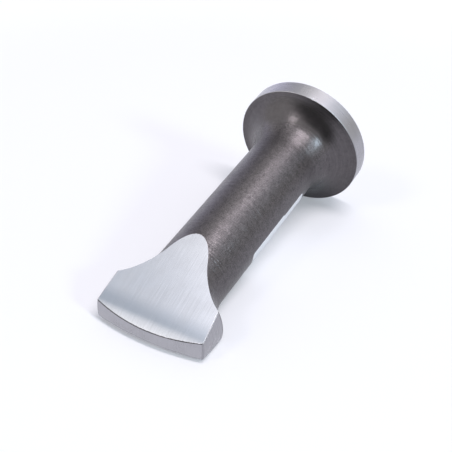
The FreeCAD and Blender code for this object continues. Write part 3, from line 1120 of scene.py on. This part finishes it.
    def thicken(
        self, graph: Graph, given: bpy.types.bpy_prop_collection, sheet: Socket
    ) -> Socket:
        """Gives the sheet its thickness and closes it.

        Args:
            graph: the tree's nodes.
            given: the tree's inputs.
            sheet: the bent sheet.

        Returns:
            The closed strip.
        """
        raised = graph.add("GeometryNodeExtrudeMesh")
        raised.inputs["Individual"].default_value = False
        graph.feed(raised.inputs["Mesh"], sheet)
        graph.feed(raised.inputs["Offset Scale"], given["Thickness"])
        back = graph.add("GeometryNodeFlipFaces")
        graph.feed(back.inputs["Mesh"], sheet)
        both = graph.add("GeometryNodeJoinGeometry")
        for part in (raised.outputs["Mesh"], back.outputs["Mesh"]):
            graph.feed(both.inputs[0], part)
        closed = graph.add("GeometryNodeMergeByDistance")
        graph.feed(closed.inputs["Geometry"], both.outputs[0])
        closed.inputs["Distance"].default_value = self.weld_distance
        return closed.outputs["Geometry"]

    def make_material(self, effects: Effects) -> bpy.types.Material:
        """Makes the paper.

        Args:
            effects: the shared groups.

        Returns:
            The material.
        """
        material = Material("label_stock")
        graph, paper = material.graph, self.paper
        point = self.axes.place(graph)
        fibre = effects.grain.place_in(
            graph, Place=point, Fineness=paper.fibre_fineness, Contrast=paper.fibre_contrast
        )
        handled = effects.handling.place_in(graph, Place=point, Size=paper.smudge_size)
        smooth = paper.roughness - paper.roughness_swing
        rough = paper.roughness + paper.roughness_swing
        material.feed("Base Color", graph.tint(paper.colour, fibre["Shade"]))
        material.feed("Roughness", graph.spread(handled["Smudge"], smooth, rough))
        material.emboss(fibre["Height"], paper.fibre_depth)
        return material.data


@dataclass(frozen=True)
class Lamp:
    """A soft oval lamp, given by where the tool sees it and by the angles that it fills.

    Angles are in degrees and the distance is in metres.
    """

    name: str
    azimuth: float
    elevation: float
    distance: float
    width: float
    height: float
    brightness: float
    colour: Triple

    def across(self, angle: float) -> float:
        """Returns how many metres fill an angle at the lamp's distance."""
        return 2.0 * self.distance * math.tan(math.radians(angle) / 2.0)

    def light(self, aim: Vector) -> None:
        """Hangs the lamp.

        Args:
            aim: the point that it shines at.
        """
        data = bpy.data.lights.new(self.name, "AREA")
        data.shape = "ELLIPSE"
        data.size = self.across(self.width)
        data.size_y = self.across(self.height)
        area = math.pi * data.size * data.size_y / 4.0
        data.energy = self.brightness * math.pi * area
        data.color = self.colour
        lamp = show(self.name, data)
        way = way_to(self.azimuth, self.elevation)
        lamp.location = aim + way * self.distance
        lamp.rotation_mode = "QUATERNION"
        lamp.rotation_quaternion = way.to_track_quat("Z", "Y")


@dataclass(frozen=True)
class Patch:
    """A soft round part of the room, which the steel sees darker or brighter than white.

    The angles are in degrees. Within the inner one of its middle it has its colour, and past
    the outer one it is white.
    """

    azimuth: float
    elevation: float
    inner: float
    outer: float
    colour: Triple

    def paint(self, graph: Graph, way: Socket) -> Socket:
        """Paints the patch on white.

        Args:
            graph: the world's nodes.
            way: the direction that is looked at.

        Returns:
            The colour there.
        """
        toward = graph.dot(way, tuple(way_to(self.azimuth, self.elevation)))
        ramp = (math.cos(math.radians(self.outer)), math.cos(math.radians(self.inner)))
        inside = graph.step(toward, ramp)
        return graph.mix(Mixed.COLOURS, inside, WHITE, as_colour(self.colour))


@dataclass(frozen=True)
class Floor:
    """The pale floor, which shows white to the camera and keeps the tool's shadow.

    It glows for the camera, more with the distance from the tool, and gleams for the steel,
    more on the tool's left. It ends a little in front of the toe, so that the head's flare
    reflects the dark patch of the room beyond. Lengths are in metres.
    """

    back: float = -1.2
    front: float = 0.14
    side: float = 1.2
    colour: Triple = (0.67, 0.67, 0.67)
    roughness: float = 0.9
    specular: float = 0.2
    glow_colour: Triple = (0.92, 0.945, 1.0)
    glow: Ramp = (0.25, 0.6)
    glow_distance: Ramp = (0.2, 0.7)
    gleam: Ramp = (0.14, 0.27)
    gleam_side: Ramp = (-0.04, -0.12)

    def build(self) -> None:
        """Lays the floor."""
        back, front, side = self.back, self.front, self.side
        corners = [(back, -side, 0), (front, -side, 0), (front, side, 0), (back, side, 0)]
        mesh = bpy.data.meshes.new("floor")
        mesh.from_pydata(corners, [], [(0, 1, 2, 3)])
        floor = show("floor", mesh)
        material = Material("pale_floor")
        graph, sockets = material.graph, material.sockets
        sockets["Base Color"].default_value = as_colour(self.colour)
        sockets["Roughness"].default_value = self.roughness
        sockets["Specular IOR Level"].default_value = self.specular
        sockets["Emission Color"].default_value = as_colour(self.glow_colour)
        path = graph.add("ShaderNodeLightPath").outputs
        camera = graph.maths("MAXIMUM", path["Is Camera Ray"], path["Is Transmission Ray"])
        place = graph.add("ShaderNodeTexCoord").outputs["Object"]
        away = graph.step(graph.length(place), self.glow_distance)
        glow = graph.spread(away, *self.glow)
        _, y, _ = graph.split(place)
        gleam = graph.spread(graph.step(y, self.gleam_side), *self.gleam)
        gleam = graph.maths("MULTIPLY", path["Is Glossy Ray"], gleam)
        strength = graph.maths("MULTIPLY_ADD", camera, glow, gleam)
        material.feed("Emission Strength", strength)
        mesh.materials.append(material.data)


@dataclass(frozen=True)
class Room:
    """The white room.

    Only reflections see its patches. Its other light is a bluish ambient, which is stronger
    from one side.
    """

    ambient: float = 0.38
    ambient_lean: float = 0.9
    ambient_toward: Triple = (-0.56, -0.48, 0.67)
    ambient_colour: Triple = (0.84, 0.87, 1.0)
    patches: tuple[Patch, ...] = (
        Patch(11.0, 5.0, 30.0, 38.0, (0.16, 0.16, 0.16)),
        Patch(120.0, 8.0, 12.0, 38.0, (0.66, 0.66, 0.66)),
        Patch(44.0, 4.0, 8.0, 24.0, (0.3, 0.3, 0.3)),
        Patch(-108.0, 50.0, 8.0, 21.0, (0.45, 0.43, 0.43)),
        Patch(-64.0, 60.5, 1.5, 8.0, (0.62, 0.66, 0.7)),
        Patch(-78.0, 55.0, 2.0, 10.0, (0.72, 0.75, 0.8)),
        Patch(-63.0, 70.5, 3.0, 11.0, (1.42, 1.4, 1.44)),
        Patch(172.0, 50.0, 6.0, 21.0, (2.05, 2.0, 2.08)),
        Patch(146.0, 36.0, 7.0, 21.0, (1.2, 1.27, 1.38)),
        Patch(-130.0, -4.0, 20.0, 48.0, (1.3, 1.3, 1.54)),
        Patch(-138.0, 24.0, 7.0, 28.0, (0.62, 0.62, 0.64)),
    )

    def build(self) -> None:
        """Paints the room."""
        world = bpy.data.worlds.new("white_room")
        bpy.context.scene.world = world
        world.use_nodes = True
        graph = Graph(world.node_tree)
        way = graph.add("ShaderNodeTexCoord").outputs["Generated"]
        shown, *others = (patch.paint(graph, way) for patch in self.patches)
        for other in others:
            shown = graph.times(shown, other)
        toward = graph.dot(way, self.ambient_toward)
        leaning = graph.maths("MULTIPLY_ADD", toward, self.ambient_lean, 1.0)
        glow = graph.tint([self.ambient * part for part in self.ambient_colour], leaning)
        path = graph.add("ShaderNodeLightPath").outputs
        colour = graph.mix(Mixed.COLOURS, path["Is Glossy Ray"], glow, shown)
        camera = graph.maths("MAXIMUM", path["Is Camera Ray"], path["Is Transmission Ray"])
        colour = graph.mix(Mixed.COLOURS, camera, colour, WHITE)
        graph.feed(world.node_tree.nodes["Background"].inputs["Color"], colour)


@dataclass(frozen=True)
class Viewpoint:
    """The camera where the photograph was taken from, with lengths in metres.

    Its lens and its film are in millimetres.
    """

    place: Triple = (0.26144, 0.143357, 0.214142)
    right: Triple = (-0.511246, 0.858881, 0.030849)
    down: Triple = (0.464657, 0.306425, -0.830782)
    lens: float = 70.9
    film_width: float = 36.0
    nearest: float = 0.01
    farthest: float = 20.0

    def build(self) -> None:
        """Sets the camera."""
        data = bpy.data.cameras.new("camera")
        data.lens = self.lens
        data.sensor_width = self.film_width
        data.clip_start = self.nearest
        data.clip_end = self.farthest
        camera = show("camera", data)
        right, up = Vector(self.right), -Vector(self.down)
        turn = Matrix((right, up, right.cross(up))).transposed()
        camera.rotation_mode = "QUATERNION"
        camera.rotation_quaternion = turn.to_quaternion()
        camera.location = Vector(self.place)
        bpy.context.scene.camera = camera


@dataclass(frozen=True)
class Studio:
    """The floor, the room, the camera and the soft lamps, which shine at the tool's middle."""

    floor: Floor = Floor()
    room: Room = Room()
    camera: Viewpoint = Viewpoint()
    aim: Triple = (0.0, 0.0, 0.025)
    lamps: tuple[Lamp, ...] = (
        Lamp("overhead_lamp", 84.0, 71.0, 4.0, 8.0, 38.0, 25.0, (1.0, 0.945, 1.0)),
        Lamp("side_lamp", 76.5, 28.0, 4.0, 11.0, 9.0, 35.0, (0.66, 0.87, 1.0)),
        Lamp("front_lamp", -29.0, 47.0, 4.0, 13.0, 11.0, 9.0, (1.0, 0.95, 0.97)),
    )

    def build(self) -> None:
        """Builds the studio."""
        self.floor.build()
        self.room.build()
        for lamp in self.lamps:
            lamp.light(Vector(self.aim))
        self.camera.build()


def main() -> None:
    """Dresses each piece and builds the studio."""
    logging.basicConfig(level=logging.INFO, format="%(name)s: %(message)s")
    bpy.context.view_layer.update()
    effects = Effects()
    Forging().dress(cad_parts[STEEL_NODE], effects)
    log.info("dressed %s", STEEL_NODE)
    Label().build(effects)
    log.info("made the label in the place of %s", LABEL_NODE)
    Studio().build()
    log.info("built the studio")
    view = bpy.context.scene.view_settings
    view.view_transform = "Standard"
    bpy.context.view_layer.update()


if __name__ == "__main__":
    main()
